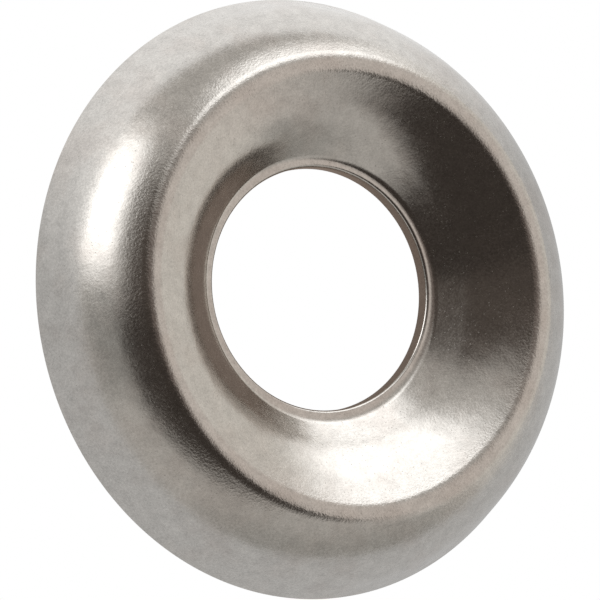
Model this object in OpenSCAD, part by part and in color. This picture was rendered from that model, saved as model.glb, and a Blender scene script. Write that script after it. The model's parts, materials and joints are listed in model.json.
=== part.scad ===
// Finishing cup washer, pressed from one disc of sheet metal.
// It stands on the foot of its skirt, and the cup opens upwards to take a countersunk screw head.
// Millimetres, +Z up along the washer's axis, origin at the centre of the foot's plane.

/* [Washer] */
// Outside diameter over the foot of the skirt
outer_d = 16; // [15.2:0.1:18]
// Height of the crest above the foot
height = 2.7; // [2.5:0.05:2.9]
// Thickness of the pressed sheet
sheet = 0.4; // [0.25:0.05:0.5]

/* [Crest] */
// Radius of the bend over the crest, on its upper face
crest_r = 0.6; // [0.55:0.05:0.8]
// Slope of the shoulder, on the outer side of the crest
shoulder_slope = 33; // [28:1:38]

/* [Skirt] */
// Slope of the straight skirt above the foot
skirt_slope = 69; // [65:1:73]
// Radius of the bend between shoulder and skirt on its upper face, where there is room for it
skirt_bend_r = 3.4; // [1.5:0.1:3.6]

/* [Cup] */
// Included angle of the cup's wall
cup_angle = 108; // [100:1:112]
// Height of the floor's upper face above the foot
floor_h = 1.15; // [1:0.05:1.3]
// Width of the flat floor round the bore
floor_w = 0.25; // [0.15:0.05:0.4]
// Radius of the bend between wall and floor, on its upper face
floor_bend_r = 0.4; // [0.2:0.05:0.6]

/* [Bore] */
// Diameter of the pierced bore
bore_d = 6.5; // [6:0.1:6.8]

/* [Edges] */
// Radius of the edge round the outside of the foot
rim_edge_r = 0.1; // [0.05:0.01:0.15]
// Radius that the punch leaves on the upper edge of the bore
bore_edge_r = 0.1; // [0.05:0.01:0.14]

/* [Hidden] */
$fn = 180;

// Each bend runs this far past the lines that it touches, so that they cross cleanly
meet = 0.00005;

// Share of the shoulder or the skirt that the bend between them may take
bend_share = 0.95;

up = [0, 1];
down = [0, -1];
inward = [-1, 0];

// Outward normal of a face that falls away from the crest at a slope
function falling(slope) = [sin(slope), cos(slope)];

// Way from the centre of a bend of radius 1 to the sharp corner that it rounds
function miter(normal_a, normal_b) = (normal_a + normal_b) / (1 + normal_a * normal_b);

rim_r = outer_d / 2;
bore_r = bore_d / 2;

// The cup's wall rises from the floor at this slope
wall_slope = 90 - cup_angle / 2;
wall_normal = falling(-wall_slope);

// The floor's bend is centred above the outer edge of the flat floor
floor_bend_c = [bore_r + floor_w, floor_h + floor_bend_r];

// The crest's bend is centred where both bends touch the same straight wall
crest_z = height - crest_r;
bends_apart = crest_r + floor_bend_r - (floor_bend_c[1] - crest_z) * cos(wall_slope);
crest_c = [floor_bend_c[0] + bends_apart / sin(wall_slope), crest_z];

// The skirt rises straight from the rounded edge of the foot
skirt_normal = falling(skirt_slope);
rim_edge_c = [rim_r - rim_edge_r, rim_edge_r];
foot_corner = rim_edge_c + rim_edge_r * miter(down, skirt_normal);

// The shoulder falls straight from the crest's bend to a sharp corner with the skirt
shoulder_normal = falling(shoulder_slope);
shoulder_top = crest_c + crest_r * shoulder_normal;
shoulder_way = [cos(shoulder_slope), -sin(shoulder_slope)];
shoulder_len = (foot_corner - shoulder_top) * skirt_normal / (shoulder_way * skirt_normal);
skirt_corner = shoulder_top + shoulder_len * shoulder_way;

// The bend that rounds this corner takes the same length of the shoulder and of the skirt
bend_room = bend_share * min(shoulder_len, norm(skirt_corner - foot_corner) - rim_edge_r);
skirt_bend = min(skirt_bend_r, bend_room / tan((skirt_slope - shoulder_slope) / 2));
skirt_bend_c = skirt_corner - skirt_bend * miter(shoulder_normal, skirt_normal);

// What a bend takes off the sharp corner between two faces with these normals
module off_corner(centre, radius, normal_a, normal_b) {
    past_corner = 2 * radius;
    translate(centre) difference() {
        polygon(past_corner * [[0, 0], normal_a, miter(normal_a, normal_b), normal_b]);
        circle(radius + meet);
    }
}

// Section from the axis to the skirt, below the washer's upper face sunk by depth
module section_below(depth) {
    floor_z = floor_h - depth;
    floor_bend = floor_bend_r + depth;
    crest_bend = crest_r - depth;
    lower_bend = skirt_bend - depth;
    difference() {
        polygon([
            [0, 0],
            [0, floor_z],
            [floor_bend_c[0], floor_z],
            floor_bend_c - floor_bend * wall_normal,
            crest_c + crest_bend * miter(wall_normal, shoulder_normal),
            skirt_bend_c + lower_bend * miter(shoulder_normal, skirt_normal),
            foot_corner - [depth / skirt_normal[0], 0],
        ]);
        translate(floor_bend_c) circle(floor_bend + meet);
        off_corner(crest_c, crest_bend, wall_normal, shoulder_normal);
        off_corner(skirt_bend_c, lower_bend, shoulder_normal, skirt_normal);
    }
}

// Section of the sheet, from the bore over the crest to the foot
module sheet_section() {
    bore_edge_c = [bore_r, floor_h] - bore_edge_r * miter(inward, up);
    difference() {
        section_below(0);
        section_below(sheet);
        square([bore_r, height]);
        off_corner(rim_edge_c, rim_edge_r, down, skirt_normal);
        off_corner(bore_edge_c, bore_edge_r, inward, up);
    }
}

module cup_washer() {
    color([0.72, 0.7, 0.67]) rotate_extrude() sheet_section();
}

cup_washer();
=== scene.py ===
"""A finishing cup washer with its tumbled finish, on a plain white floor in soft studio light."""

import json
import math

import bpy
from bpy.props import FloatProperty, FloatVectorProperty, IntProperty, PointerProperty
from mathutils import Matrix, Vector


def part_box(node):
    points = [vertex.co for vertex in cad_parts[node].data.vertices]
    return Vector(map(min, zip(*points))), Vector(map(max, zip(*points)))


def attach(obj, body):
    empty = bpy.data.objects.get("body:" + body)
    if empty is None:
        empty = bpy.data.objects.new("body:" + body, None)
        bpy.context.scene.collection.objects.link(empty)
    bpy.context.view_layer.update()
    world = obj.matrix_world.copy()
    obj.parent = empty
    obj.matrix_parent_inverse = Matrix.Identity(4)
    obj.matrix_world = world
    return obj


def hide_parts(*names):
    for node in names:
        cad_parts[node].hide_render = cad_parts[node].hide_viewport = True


bl_info = {
    "name": "Finishing cup washer",
    "version": (1, 0, 0),
    "blender": (4, 5, 0),
    "location": "View3D > Sidebar > Cup washer",
    "description": "Makes a pressed cup washer with a tumbled finish, and a plain studio round it",
    "category": "Object",
}

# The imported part, its box, and the mounts that the washer's sizes are taken from
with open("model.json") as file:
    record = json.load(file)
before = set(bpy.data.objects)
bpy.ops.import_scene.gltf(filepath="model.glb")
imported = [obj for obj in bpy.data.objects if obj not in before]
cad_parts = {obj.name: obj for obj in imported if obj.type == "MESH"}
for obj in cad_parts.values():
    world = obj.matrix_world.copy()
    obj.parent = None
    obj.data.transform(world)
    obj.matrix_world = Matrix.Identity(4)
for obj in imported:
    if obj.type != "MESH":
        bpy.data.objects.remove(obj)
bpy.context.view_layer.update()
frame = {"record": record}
NODE = "cup_washer"
WASHER_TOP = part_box(NODE)[1]
MOUNTS = {mount["name"]: mount for mount in frame["record"]["mounts"]}
SEAT_HEIGHT = MOUNTS["head_seat"]["pos_m"][2]

MM = 0.001
WHITE = (1, 1, 1, 1)

# How far the cup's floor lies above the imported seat
FLOOR_LIFT = 0.165 * MM

# How far up the cup its foot's shift is felt, as a share of the outer radius
CUP_SHARE = 0.62

# Steps round each bend of the section, on the upper face and on the underside
UPPER_STEPS = {"rim": 8, "skirt": 30, "crest": 30, "wall": 14, "floor": 16, "bore": 10}
UNDER_STEPS = {"rim": 4, "skirt": 14, "crest": 10, "wall": 8, "floor": 12, "bore": 4}

# Noise in the finish: how much the finer marks in it count, and its middle value
NOISE_ROUGHNESS = 0.6
NOISE_MIDDLE = 0.5

# Fine grain: how close it lies, how finely it breaks up, its depth, and what it adds to shade and roughness
GRAIN_PER_METRE = 17000
GRAIN_DETAIL = 2
GRAIN_DEPTH = 0.0018 * MM
GRAIN_SHADE = 0.6
GRAIN_ROUGHNESS = 0.15

# Soft unevenness of the tumbled surface, in the same terms
PEEL_PER_METRE = 3000
PEEL_DETAIL = 1
PEEL_DEPTH = 0.003 * MM
PEEL_SHADE = 0.3

# Stained patches: where in the noise they begin and are full, and how strong they are
STAINS_PER_METRE = 700
STAIN_DETAIL = 3
STAIN_LIMITS = (0.42, 0.68)
STAIN_SHADE = 0.6
STAIN_ROUGHNESS = 0.04

# Pits: their edge within a cell, which share of the cells has one, and how strong they are
PITS_PER_METRE = 11000
PIT_EDGE = (0.1, 0.24)
PIT_CHOICE = (0.45, 0.75)
PIT_DEPTH = 0.0004 * MM
PIT_SHADE = 0.2
PIT_ROUGHNESS = 0.2

# Where the finish changes: radii of the matter skirt, the grainier crest, and the crease round the skirt
SKIRT_STARTS = (5.9 * MM, 6.8 * MM)
CREST_PLACE = 6.1 * MM
CREST_FADES = (0.25 * MM, 0.8 * MM)
CREST_GRAIN = 2.2
CREASE_HEIGHTS = (0.72 * MM, 0.86 * MM)
CREASE_DEPTH = 0.005 * MM

# Painted light on the glowing floor: how it turns from its dim grey side to its brightly lit side, and how
# wide the even middle is
FLOOR_TURN = (0.1, 0.6)
FLOOR_MIDDLE = 6 * MM

# Painted shadow on the floor under the washer: radii where it ends, how deep it is, and its warm tint
PAINTED_SHADOW_ENDS = (7.5 * MM, 8.15 * MM)
PAINTED_SHADOW_DEPTH = 0.62
PAINTED_SHADOW_TINT = (1, 0.8, 0.68, 1)

# The camera sees nothing nearer than this share of its distance
NEAR_SHARE = 0.1

# Patches of light and dark round the washer: azimuth, elevation, width, height and soft edge in degrees,
# how much they climb for each degree aside, and the colour in linear light
PATCHES = {
    "grey wall": (282, -4, 76, 48, 12, 0, (0.36, 0.35, 0.33)),
    "low wall": (0, 14, 80, 30, 10, 0, (0.72, 0.69, 0.645)),
    "warm wall": (356, 48, 80, 46, 12, 0, (0.66, 0.605, 0.565)),
    "ceiling": (0, 95, 360, 52, 10, 0, (0.17, 0.14, 0.125)),
    "ceiling above the camera": (146, 68, 76, 52, 11, 0, (0.08, 0.066, 0.057)),
    "dark beside the camera": (241, 66, 146, 56, 8, 0.16, (0.046, 0.038, 0.033)),
    "grey screen": (180, 18, 34, 28, 7, 0, (0.32, 0.315, 0.3)),
    "left softbox": (134, 15, 42, 30, 10, 0, (2.3, 2.3, 2.3)),
    "back softbox": (57, 31, 46, 30, 10, 0.55, (1.8, 1.8, 1.8)),
}


# Kinds of property


def length(name, description, default):
    """A size in metres."""
    return FloatProperty(name=name, description=description, default=default, precision=6, unit="LENGTH")


def turn(name, description, degrees):
    """An angle, given in degrees."""
    return FloatProperty(
        name=name, description=description, default=math.radians(degrees), subtype="ANGLE", unit="ROTATION"
    )


def share(name, description, default):
    """A number from 0 to 1."""
    return FloatProperty(name=name, description=description, default=default, min=0, max=1, subtype="FACTOR")


def colour(name, description, default):
    """A colour in linear light."""
    return FloatVectorProperty(
        name=name, description=description, default=default, min=0, max=1, size=3, subtype="COLOR"
    )


class WasherSizes(bpy.types.PropertyGroup):
    """Sizes of the pressed sheet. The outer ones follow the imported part."""

    outer_radius: length("Outer Radius", "Radius over the foot of the skirt", WASHER_TOP.x)
    height: length("Height", "Height of the crest above the foot", WASHER_TOP.z)
    sheet: length("Sheet", "Thickness of the sheet", 0.4 * MM)
    crest_radius: length("Crest Radius", "Radius of the bend over the crest", 0.65 * MM)
    shoulder_slope: turn("Shoulder Slope", "Slope on the outer side of the crest", 33)
    skirt_slope: turn("Skirt Slope", "Slope of the straight skirt above the foot", 69)
    skirt_bend: length("Skirt Bend", "Radius of the bend between shoulder and skirt", 3.4 * MM)
    cup_angle: turn("Cup Angle", "Included angle of the cup's wall", 117.6)
    wall_bulge: turn("Wall Bulge", "How much steeper the cup's wall is at its foot than at its top", 13)
    wall_bend: length("Wall Bend", "Radius of the cup's bulging wall", 5 * MM)
    cup_shift: length("Cup Shift", "How far the foot of the cup lies off the axis", 0.13 * MM)
    cup_way: turn("Cup Way", "Way that the foot of the cup is shifted, counted from X", 126)
    floor_height: length("Floor Height", "Height of the cup's floor above the foot", SEAT_HEIGHT + FLOOR_LIFT)
    floor_width: length("Floor Width", "Width of the flat floor round the bore", 0.12 * MM)
    floor_bend: length("Floor Bend", "Radius of the bend between wall and floor", 0.35 * MM)
    bore_radius: length("Bore Radius", "Radius of the pierced bore", MOUNTS["bore"]["dims"]["r_mm"] * MM)
    bore_shift: length("Bore Shift", "How far the pierced bore lies off the axis", 0.174 * MM)
    bore_way: turn("Bore Way", "Way that the bore is shifted, counted from X", 126)
    bore_oval: length("Bore Oval", "How far the bore is out of round", 0.03 * MM)
    rim_edge: length("Rim Edge", "Radius round the outside of the foot", 0.1 * MM)
    bore_edge: length("Bore Edge", "Radius that the punch leaves on the bore", 0.1 * MM)
    cut_edge: length("Cut Edge", "Radius left on the edges of the underside", 0.03 * MM)
    steps_round: IntProperty(name="Steps Round", description="Sections round the washer", default=400, min=32)


class WasherFinish(bpy.types.PropertyGroup):
    """Colours and roughness of the tumbled metal."""

    metal: colour("Metal", "Colour of the bare metal", (0.66, 0.635, 0.6))
    stain: colour("Stain", "Warmer colour of the stained patches", (0.62, 0.575, 0.535))
    pit: colour("Pit", "Colour inside the pits", (0.16, 0.14, 0.125))
    skirt_roughness: share("Skirt Roughness", "Roughness of the matter skirt", 0.2)
    cup_roughness: share("Cup Roughness", "Roughness of the crest and the cup", 0.16)


class StudioSettings(bpy.types.PropertyGroup):
    """Camera, floor and light."""

    tilt: turn("Tilt", "Angle between the washer's axis and the line of sight", 31.65)
    roll: turn("Roll", "Turn of the camera about the line of sight", -12.16)
    distance: length("Distance", "From the camera to the washer", 160 * MM)
    lens: FloatProperty(name="Lens", description="Focal length", default=361.6, unit="CAMERA")
    aim_right: length("Aim Right", "Camera's place to the right of the washer", 0.008 * MM)
    aim_up: length("Aim Up", "Camera's place above the washer", -0.04 * MM)
    floor_width: length("Floor Width", "Width of the square floor", 800 * MM)
    # The floor's painted light as the metal mirrors it: a dim grey side, a brightly lit side, and the way to
    # the lit side
    floor_glow: share("Floor Glow", "How bright the floor's grey side looks in the metal", 0.54)
    floor_lit: share("Floor Lit", "How bright the floor's bright side looks in the metal", 1)
    floor_way: turn("Floor Way", "Way to the floor's bright side, counted from X", 90)
    wall: colour("Wall", "Light of the room's pale walls", (0.5, 0.48, 0.455))


# Node trees


class Formula:
    """A number in a node tree. Arithmetic on it adds Math nodes to the tree."""

    def __init__(self, tree, socket):
        self.tree = tree
        self.socket = socket

    def step(self, operation, *others):
        """The result of a Math node, with this number as its first input."""
        node = self.tree.nodes.new("ShaderNodeMath")
        node.operation = operation
        for slot, value in zip(node.inputs, (self, *others)):
            feed(self.tree, slot, value)
        return Formula(self.tree, node.outputs[0])

    def __add__(self, other):
        return self.step("ADD", other)

    def __sub__(self, other):
        return self.step("SUBTRACT", other)

    def __mul__(self, other):
        return self.step("MULTIPLY", other)

    def __truediv__(self, other):
        return self.step("DIVIDE", other)

    def __neg__(self):
        return self.step("MULTIPLY", -1)

    def __rsub__(self, other):
        return -self + other

    __radd__ = __add__
    __rmul__ = __mul__


def feed(tree, slot, value):
    """Links a socket or a formula to a node's input, or sets the input to a plain value."""
    if isinstance(value, Formula):
        value = value.socket
    if isinstance(value, bpy.types.NodeSocket):
        tree.links.new(value, slot)
    else:
        slot.default_value = value


def add_node(tree, kind, settings=None, **inputs):
    """A new node with its settings, and with inputs given by name, where _ stands for a space."""
    node = tree.nodes.new(kind)
    for name, value in (settings or {}).items():
        setattr(node, name, value)
    for name, value in inputs.items():
        label = name.replace("_", " ")
        slot = next(s for s in node.inputs if s.name == label and s.enabled)
        feed(tree, slot, value)
    return node


def soft_step(tree, value, low, high, start=0, end=1):
    """A value that runs smoothly from start to end between low and high."""
    node = add_node(
        tree,
        "ShaderNodeMapRange",
        {"interpolation_type": "SMOOTHSTEP"},
        Value=value,
        From_Min=low,
        From_Max=high,
        To_Min=start,
        To_Max=end,
    )
    return Formula(tree, node.outputs[0])


def blend(tree, amount, colour_a, colour_b):
    """A colour between two others."""
    node = add_node(tree, "ShaderNodeMix", {"data_type": "RGBA"}, Factor=amount, A=colour_a, B=colour_b)
    return next(s for s in node.outputs if s.enabled)


def split(tree, place):
    """A place's X, Y and Z."""
    parts = add_node(tree, "ShaderNodeSeparateXYZ", Vector=place).outputs
    return [Formula(tree, part) for part in parts]


def off_axis(x, y):
    """How far a place lies from the washer's axis."""
    return (x * x + y * y).step("SQRT")


# The washer's section


def miter(normal_a, normal_b):
    """Way from the centre of a bend of radius 1 to the sharp corner that it rounds."""
    spread = across(normal_a, normal_b) + 1
    return ((normal_a[0] + normal_b[0]) / spread, (normal_a[1] + normal_b[1]) / spread)


def falling(slope):
    """Outward normal of a face that falls away from the crest at a slope."""
    return (slope.step("SINE"), slope.step("COSINE"))


def across(way, normal):
    """How far a way leads along a normal."""
    return way[0] * normal[0] + way[1] * normal[1]


def along(start, way, distance):
    """The point that lies a distance from start along a way."""
    return (start[0] + way[0] * distance, start[1] + way[1] * distance)


def crossing(start, way, place, normal):
    """The point where the line from start along a way meets the face with a normal through a place."""
    gap = (place[0] - start[0], place[1] - start[1])
    return along(start, way, across(gap, normal) / across(way, normal))


def section_corners(size):
    """Corners of the sheet's section as (point, radius, steps), up the skirt, down to the bore and back."""
    up, down = (0, 1), (0, -1)
    sheet, cut = size["Sheet"], size["Cut Edge"]
    bore, floor = size["Bore Radius"], size["Floor Height"]
    crest, edge = size["Crest Radius"], size["Rim Edge"]
    skirt_bend, wall_bend, floor_bend = size["Skirt Bend"], size["Wall Bend"], size["Floor Bend"]
    shoulder_normal, skirt_normal = falling(size["Shoulder Slope"]), falling(size["Skirt Slope"])

    # The cup's wall bulges evenly about its mean slope
    wall = math.pi / 2 - size["Cup Angle"] / 2
    half_bulge = size["Wall Bulge"] / 2
    wall_top, wall_foot = falling(half_bulge - wall), falling(-wall - half_bulge)
    wall_way = miter(wall_top, wall_foot)

    # The floor's bend is centred above the outer edge of the flat floor
    floor_centre = (bore + size["Floor Width"], floor + floor_bend)
    floor_way = miter(up, wall_foot)
    floor_corner = along(floor_centre, floor_way, -floor_bend)

    # The crest's bend is centred where a straight wall of the mean slope would touch both bends
    crest_z = size["Height"] - crest
    apart = crest + floor_bend - (floor_centre[1] - crest_z) * wall.step("COSINE")
    crest_centre = (floor_centre[0] + apart / wall.step("SINE"), crest_z)
    crest_way = miter(wall_top, shoulder_normal)
    crest_corner = along(crest_centre, crest_way, crest)
    wall_corner = crossing(crest_corner, (-wall_top[1], wall_top[0]), floor_corner, wall_foot)

    # The shoulder falls straight from the crest's bend to a sharp corner with the skirt
    foot = along((size["Outer Radius"] - edge, edge), miter(down, skirt_normal), edge)
    shoulder_top = along(crest_centre, shoulder_normal, crest)
    shoulder_way = (shoulder_normal[1], -shoulder_normal[0])
    skirt_corner = crossing(shoulder_top, shoulder_way, foot, skirt_normal)
    skirt_way = miter(shoulder_normal, skirt_normal)

    return [
        (foot, edge, UPPER_STEPS["rim"]),
        (skirt_corner, skirt_bend, UPPER_STEPS["skirt"]),
        (crest_corner, crest, UPPER_STEPS["crest"]),
        (wall_corner, wall_bend, UPPER_STEPS["wall"]),
        (floor_corner, floor_bend, UPPER_STEPS["floor"]),
        ((bore, floor), size["Bore Edge"], UPPER_STEPS["bore"]),
        ((bore, floor - sheet), cut, UNDER_STEPS["bore"]),
        (along(floor_corner, floor_way, -sheet), floor_bend + sheet, UNDER_STEPS["floor"]),
        (along(wall_corner, wall_way, -sheet), wall_bend - sheet, UNDER_STEPS["wall"]),
        (along(crest_corner, crest_way, -sheet), crest - sheet, UNDER_STEPS["crest"]),
        (along(skirt_corner, skirt_way, -sheet), skirt_bend - sheet, UNDER_STEPS["skirt"]),
        ((foot[0] - sheet / skirt_normal[0], foot[1]), cut, UNDER_STEPS["rim"]),
    ]


def by_index(tree, data_type, values):
    """A field that gives each point in turn one of the values."""
    switch = add_node(tree, "GeometryNodeIndexSwitch", {"data_type": data_type})
    while len(switch.index_switch_items) < len(values):
        switch.index_switch_items.new()
    feed(tree, switch.inputs["Index"], add_node(tree, "GeometryNodeInputIndex").outputs[0])
    for slot, value in zip(switch.inputs[1:], values):
        feed(tree, slot, value)
    return switch.outputs[0]


def press_offset(tree, size):
    """How far each point moves, as the cup's foot and the bore lie off the axis, and the bore is oval."""
    place = add_node(tree, "GeometryNodeInputPosition").outputs[0]
    x, y = split(tree, place)[:2]
    radius = off_axis(x, y)
    bore_end = size["Bore Radius"] + size["Bore Edge"]
    floor_end = size["Bore Radius"] + size["Floor Width"]
    in_cup = soft_step(tree, radius, floor_end, size["Outer Radius"] * CUP_SHARE, 1, 0)
    in_bore = soft_step(tree, radius, bore_end, floor_end + size["Floor Bend"], 1, 0)
    oval = size["Bore Oval"] * in_bore / radius
    moved = [x * oval, -(y * oval)]
    for axis, part in enumerate(("COSINE", "SINE")):
        cup = size["Cup Shift"] * size["Cup Way"].step(part)
        bore = size["Bore Shift"] * size["Bore Way"].step(part)
        moved[axis] = moved[axis] + cup * in_cup + (bore - cup) * in_bore
    return add_node(tree, "ShaderNodeCombineXYZ", X=moved[0], Y=moved[1]).outputs[0]


def washer_tree(material):
    """The geometry tree that turns the section of the sheet round the washer's axis."""
    tree = bpy.data.node_groups.new("pressed_washer", "GeometryNodeTree")
    sizes = WasherSizes.bl_rna.properties
    named = [p.name for p in sizes if p.identifier in WasherSizes.__annotations__]
    for name in named:
        kind = "NodeSocketInt" if name == "Steps Round" else "NodeSocketFloat"
        tree.interface.new_socket(name, in_out="INPUT", socket_type=kind)
    tree.interface.new_socket("Washer", in_out="OUTPUT", socket_type="NodeSocketGeometry")
    given = tree.nodes.new("NodeGroupInput")
    size = {name: Formula(tree, given.outputs[name]) for name in named}

    points, radii, steps = zip(*section_corners(size))
    places = [
        add_node(tree, "ShaderNodeCombineXYZ", X=point[0] - size["Outer Radius"], Y=-point[1]).outputs[0]
        for point in points
    ]
    line = add_node(tree, "GeometryNodeMeshLine", Count=len(places))
    sharp = add_node(tree, "GeometryNodeMeshToCurve", Mesh=line.outputs[0])
    sharp = add_node(
        tree, "GeometryNodeSetPosition", Geometry=sharp.outputs[0], Position=by_index(tree, "VECTOR", places)
    )
    sharp = add_node(tree, "GeometryNodeSetSplineCyclic", Geometry=sharp.outputs[0], Cyclic=True)
    section = add_node(
        tree,
        "GeometryNodeFilletCurve",
        {"mode": "POLY"},
        Curve=sharp.outputs[0],
        Count=by_index(tree, "INT", steps),
        Radius=by_index(tree, "FLOAT", radii),
    )
    ring = add_node(
        tree,
        "GeometryNodeCurvePrimitiveCircle",
        Resolution=size["Steps Round"],
        Radius=size["Outer Radius"],
    )
    turned = add_node(
        tree, "GeometryNodeCurveToMesh", Curve=ring.outputs[0], Profile_Curve=section.outputs[0]
    )
    outward = add_node(tree, "GeometryNodeFlipFaces", Mesh=turned.outputs[0])
    pressed = add_node(
        tree, "GeometryNodeSetPosition", Geometry=outward.outputs[0], Offset=press_offset(tree, size)
    )
    smooth = add_node(tree, "GeometryNodeSetShadeSmooth", Geometry=pressed.outputs[0])
    real = add_node(tree, "GeometryNodeRealizeInstances", Geometry=smooth.outputs[0])
    dressed = add_node(tree, "GeometryNodeSetMaterial", Geometry=real.outputs[0], Material=material)
    result = tree.nodes.new("NodeGroupOutput")
    tree.links.new(dressed.outputs[0], result.inputs["Washer"])
    return tree


def set_inputs(modifier, sizes):
    """Gives each input of a modifier's tree the property of the same name."""
    values = {p.name: getattr(sizes, p.identifier) for p in sizes.bl_rna.properties}
    for item in modifier.node_group.interface.items_tree:
        if item.in_out == "INPUT":
            modifier[item.identifier] = values[item.name]


def plain_mesh(name, tree, sizes):
    """A mesh object made by a geometry tree, with the modifier gone."""
    maker = bpy.data.objects.new(name + "_maker", bpy.data.meshes.new(name + "_maker"))
    bpy.context.scene.collection.objects.link(maker)
    modifier = maker.modifiers.new(tree.name, "NODES")
    modifier.node_group = tree
    set_inputs(modifier, sizes)
    graph = bpy.context.evaluated_depsgraph_get()
    mesh = bpy.data.meshes.new_from_object(maker.evaluated_get(graph), depsgraph=graph)
    bpy.data.objects.remove(maker)
    mesh.name = name
    piece = bpy.data.objects.new(name, mesh)
    bpy.context.scene.collection.objects.link(piece)
    return piece


# The finish


def tumbled_metal(finish):
    """Satin metal with fine grain, small pits and faint stains, duller on the skirt than in the cup."""
    material = bpy.data.materials.new("tumbled_metal")
    material.use_nodes = True
    tree = material.node_tree
    shader = tree.nodes["Principled BSDF"]
    shader.inputs["Metallic"].default_value = 1
    place = add_node(tree, "ShaderNodeTexCoord").outputs["Object"]

    def noise(per_metre, detail):
        """Even noise over the washer."""
        node = add_node(
            tree,
            "ShaderNodeTexNoise",
            Vector=place,
            Scale=per_metre,
            Detail=detail,
            Roughness=NOISE_ROUGHNESS,
        )
        return Formula(tree, node.outputs[0])

    grain = noise(GRAIN_PER_METRE, GRAIN_DETAIL) - NOISE_MIDDLE
    peel = noise(PEEL_PER_METRE, PEEL_DETAIL) - NOISE_MIDDLE
    stain = soft_step(tree, noise(STAINS_PER_METRE, STAIN_DETAIL), *STAIN_LIMITS)
    cells = add_node(tree, "ShaderNodeTexVoronoi", Vector=place, Scale=PITS_PER_METRE)
    choice = add_node(tree, "ShaderNodeSeparateColor", Color=cells.outputs["Color"]).outputs[0]
    chosen = soft_step(tree, choice, *PIT_CHOICE)
    pit = soft_step(tree, cells.outputs["Distance"], *PIT_EDGE, 1, 0) * chosen

    x, y, height = split(tree, place)
    radius = off_axis(x, y)
    skirt = soft_step(tree, radius, *SKIRT_STARTS)
    crest = soft_step(tree, (radius - CREST_PLACE).step("ABSOLUTE"), *CREST_FADES, 1, 0)
    crease = soft_step(tree, height, *CREASE_HEIGHTS)

    stained = blend(tree, stain * STAIN_SHADE, (*finish.metal, 1), (*finish.stain, 1))
    pitted = blend(tree, pit * PIT_SHADE, stained, (*finish.pit, 1))
    value = grain * GRAIN_SHADE + peel * PEEL_SHADE + 1
    shaded = add_node(tree, "ShaderNodeHueSaturation", Color=pitted, Value=value)
    feed(tree, shader.inputs["Base Color"], shaded.outputs[0])

    rough = skirt * (finish.skirt_roughness - finish.cup_roughness) + finish.cup_roughness
    rough = rough + grain * GRAIN_ROUGHNESS + stain * STAIN_ROUGHNESS + pit * PIT_ROUGHNESS
    feed(tree, shader.inputs["Roughness"], rough)

    relief = grain * (crest * CREST_GRAIN + 1) * GRAIN_DEPTH + peel * PEEL_DEPTH
    relief = relief - pit * PIT_DEPTH + crease * CREASE_DEPTH
    bump = add_node(tree, "ShaderNodeBump", Height=relief, Distance=1, Strength=1)
    feed(tree, shader.inputs["Normal"], bump.outputs[0])
    return material


# The studio


def studio_world(studio):
    """Pale walls, a dark ceiling and two softboxes for the metal to mirror. The camera sees plain white."""
    world = bpy.data.worlds.new("studio_light")
    world.use_nodes = True
    tree = world.node_tree
    way = add_node(tree, "ShaderNodeTexCoord").outputs["Generated"]
    x, y, z = split(tree, way)
    turned = y.step("ARCTAN2", x)
    raised = z.step("ARCSINE")
    light = (*studio.wall, 1)
    for azimuth, elevation, width, height, edge, climb, tint in PATCHES.values():
        aside = (turned - math.radians(azimuth)).step("WRAP", math.pi, -math.pi)
        above = raised - math.radians(elevation) - aside * climb
        inside = 1
        for offset, span in ((aside, width), (above, height)):
            limits = [math.radians(span / 2 + side * edge) for side in (-1, 1)]
            inside = soft_step(tree, offset.step("ABSOLUTE"), *limits, 1, 0) * inside
        light = blend(tree, inside, light, (*tint, 1))
    ray = add_node(tree, "ShaderNodeLightPath").outputs["Is Camera Ray"]
    seen = blend(tree, ray, light, WHITE)
    feed(tree, tree.nodes["Background"].inputs["Color"], seen)
    return world


def white_floor(studio):
    """A glowing floor that the camera sees as white, and the metal as greyer, with painted light brighter on
    one side and a painted shadow under the washer.

    It can be seen through from below.
    """
    material = bpy.data.materials.new("white_floor")
    material.use_nodes = True
    tree = material.node_tree
    tree.nodes.remove(tree.nodes["Principled BSDF"])
    ray = Formula(tree, add_node(tree, "ShaderNodeLightPath").outputs["Is Camera Ray"])
    place = add_node(tree, "ShaderNodeTexCoord").outputs["Object"]

    x, y = split(tree, place)[:2]
    radius = off_axis(x, y)
    # Painted light: the floor glows for the metal to mirror, brighter towards one side
    forward = x * math.cos(studio.floor_way) + y * math.sin(studio.floor_way)
    facing = forward / (radius + FLOOR_MIDDLE)
    glow = soft_step(tree, facing, *FLOOR_TURN, studio.floor_glow, studio.floor_lit)
    # Painted shadow: the floor's glow is darkened under the washer, where the metal would see shade
    under = soft_step(tree, radius, *PAINTED_SHADOW_ENDS, 1, 0)
    glow = glow * (1 - under * PAINTED_SHADOW_DEPTH)

    strength = glow + (1 - glow) * ray
    # The painted shadow's warm tint, seen only in the metal
    tint = blend(tree, under * (1 - ray), WHITE, PAINTED_SHADOW_TINT)
    shine = add_node(tree, "ShaderNodeEmission", Color=tint, Strength=strength)
    clear = tree.nodes.new("ShaderNodeBsdfTransparent")
    below = add_node(tree, "ShaderNodeNewGeometry").outputs["Backfacing"]
    mixed = tree.nodes.new("ShaderNodeMixShader")
    for slot, value in zip(mixed.inputs, (below, shine.outputs[0], clear.outputs[0])):
        feed(tree, slot, value)
    feed(tree, tree.nodes["Material Output"].inputs["Surface"], mixed.outputs[0])
    return material


def add_floor(scene, studio):
    """A square floor that the washer stands on."""
    half = studio.floor_width / 2
    corners = [(-half, -half, 0), (half, -half, 0), (half, half, 0), (-half, half, 0)]
    mesh = bpy.data.meshes.new("floor")
    mesh.from_pydata(corners, [], [(0, 1, 2, 3)])
    mesh.materials.append(white_floor(studio))
    floor = bpy.data.objects.new("floor", mesh)
    scene.collection.objects.link(floor)
    return floor


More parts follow.
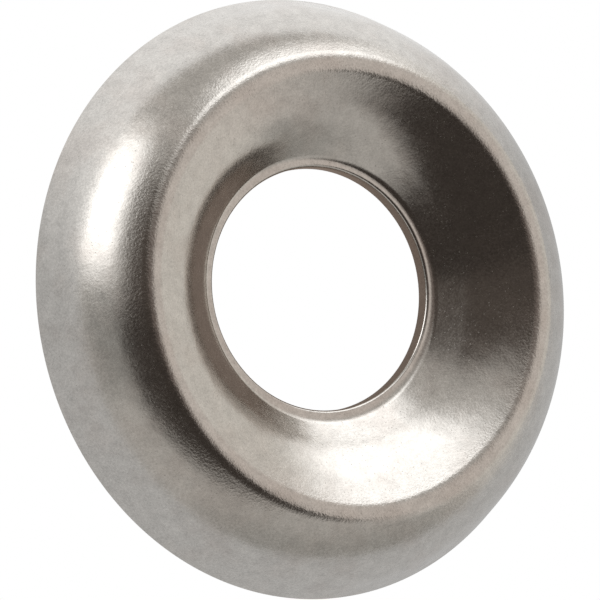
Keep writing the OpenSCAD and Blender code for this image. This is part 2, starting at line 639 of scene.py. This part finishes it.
def add_camera(scene, studio):
    """A camera that looks down on the washer at the photograph's angle."""
    back = Vector((-math.sin(studio.tilt), 0, math.cos(studio.tilt)))
    level_right = Vector((math.cos(studio.tilt), 0, math.sin(studio.tilt)))
    side = Vector((0, 1, 0))
    right = level_right * math.cos(studio.roll) + side * math.sin(studio.roll)
    up = back.cross(right)
    camera = bpy.data.objects.new("camera", bpy.data.cameras.new("camera"))
    camera.matrix_world = Matrix((right, up, back)).transposed().to_4x4()
    camera.location = back * studio.distance + right * studio.aim_right + up * studio.aim_up
    camera.data.lens = studio.lens
    camera.data.clip_start = studio.distance * NEAR_SHARE
    scene.collection.objects.link(camera)
    return camera


# Operators


class WASHER_OT_press(bpy.types.Operator):
    """Make the pressed sheet with its finish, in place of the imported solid"""

    bl_idname = "washer.press"
    bl_label = "Press the washer"

    def execute(self, context):
        material = tumbled_metal(context.scene.washer_finish)
        washer = plain_mesh("pressed_washer", washer_tree(material), context.scene.washer_sizes)
        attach(washer, "root")
        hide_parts(NODE)
        return {"FINISHED"}


class WASHER_OT_studio(bpy.types.Operator):
    """Set up the floor, the light and the camera"""

    bl_idname = "washer.studio"
    bl_label = "Set up the studio"

    def execute(self, context):
        scene = context.scene
        studio = scene.washer_studio
        scene.view_settings.view_transform = "Standard"
        scene.world = studio_world(studio)
        floor = add_floor(scene, studio)
        scene.camera = add_camera(scene, studio)
        return {"FINISHED"}


class WASHER_PT_sidebar(bpy.types.Panel):
    """Lists the washer's operators and sizes"""

    bl_idname = "WASHER_PT_sidebar"
    bl_label = "Cup washer"
    bl_space_type = "VIEW_3D"
    bl_region_type = "UI"
    bl_category = "Cup washer"

    def draw(self, context):
        scene = context.scene
        self.layout.operator(WASHER_OT_press.bl_idname)
        self.layout.operator(WASHER_OT_studio.bl_idname)
        for group in (scene.washer_sizes, scene.washer_finish, scene.washer_studio):
            box = self.layout.box()
            for name in type(group).__annotations__:
                box.prop(group, name)


CLASSES = (WasherSizes, WasherFinish, StudioSettings, WASHER_OT_press, WASHER_OT_studio, WASHER_PT_sidebar)


def register():
    """Adds the classes, and the settings to every scene."""
    for item in CLASSES:
        bpy.utils.register_class(item)
    bpy.types.Scene.washer_sizes = PointerProperty(type=WasherSizes)
    bpy.types.Scene.washer_finish = PointerProperty(type=WasherFinish)
    bpy.types.Scene.washer_studio = PointerProperty(type=StudioSettings)


def unregister():
    """Takes the settings and the classes away again."""
    del bpy.types.Scene.washer_studio
    del bpy.types.Scene.washer_finish
    del bpy.types.Scene.washer_sizes
    for item in reversed(CLASSES):
        bpy.utils.unregister_class(item)


def main():
    """Makes the washer and its studio."""
    register()
    bpy.ops.washer.press()
    bpy.ops.washer.studio()


if __name__ == "__main__":
    main()
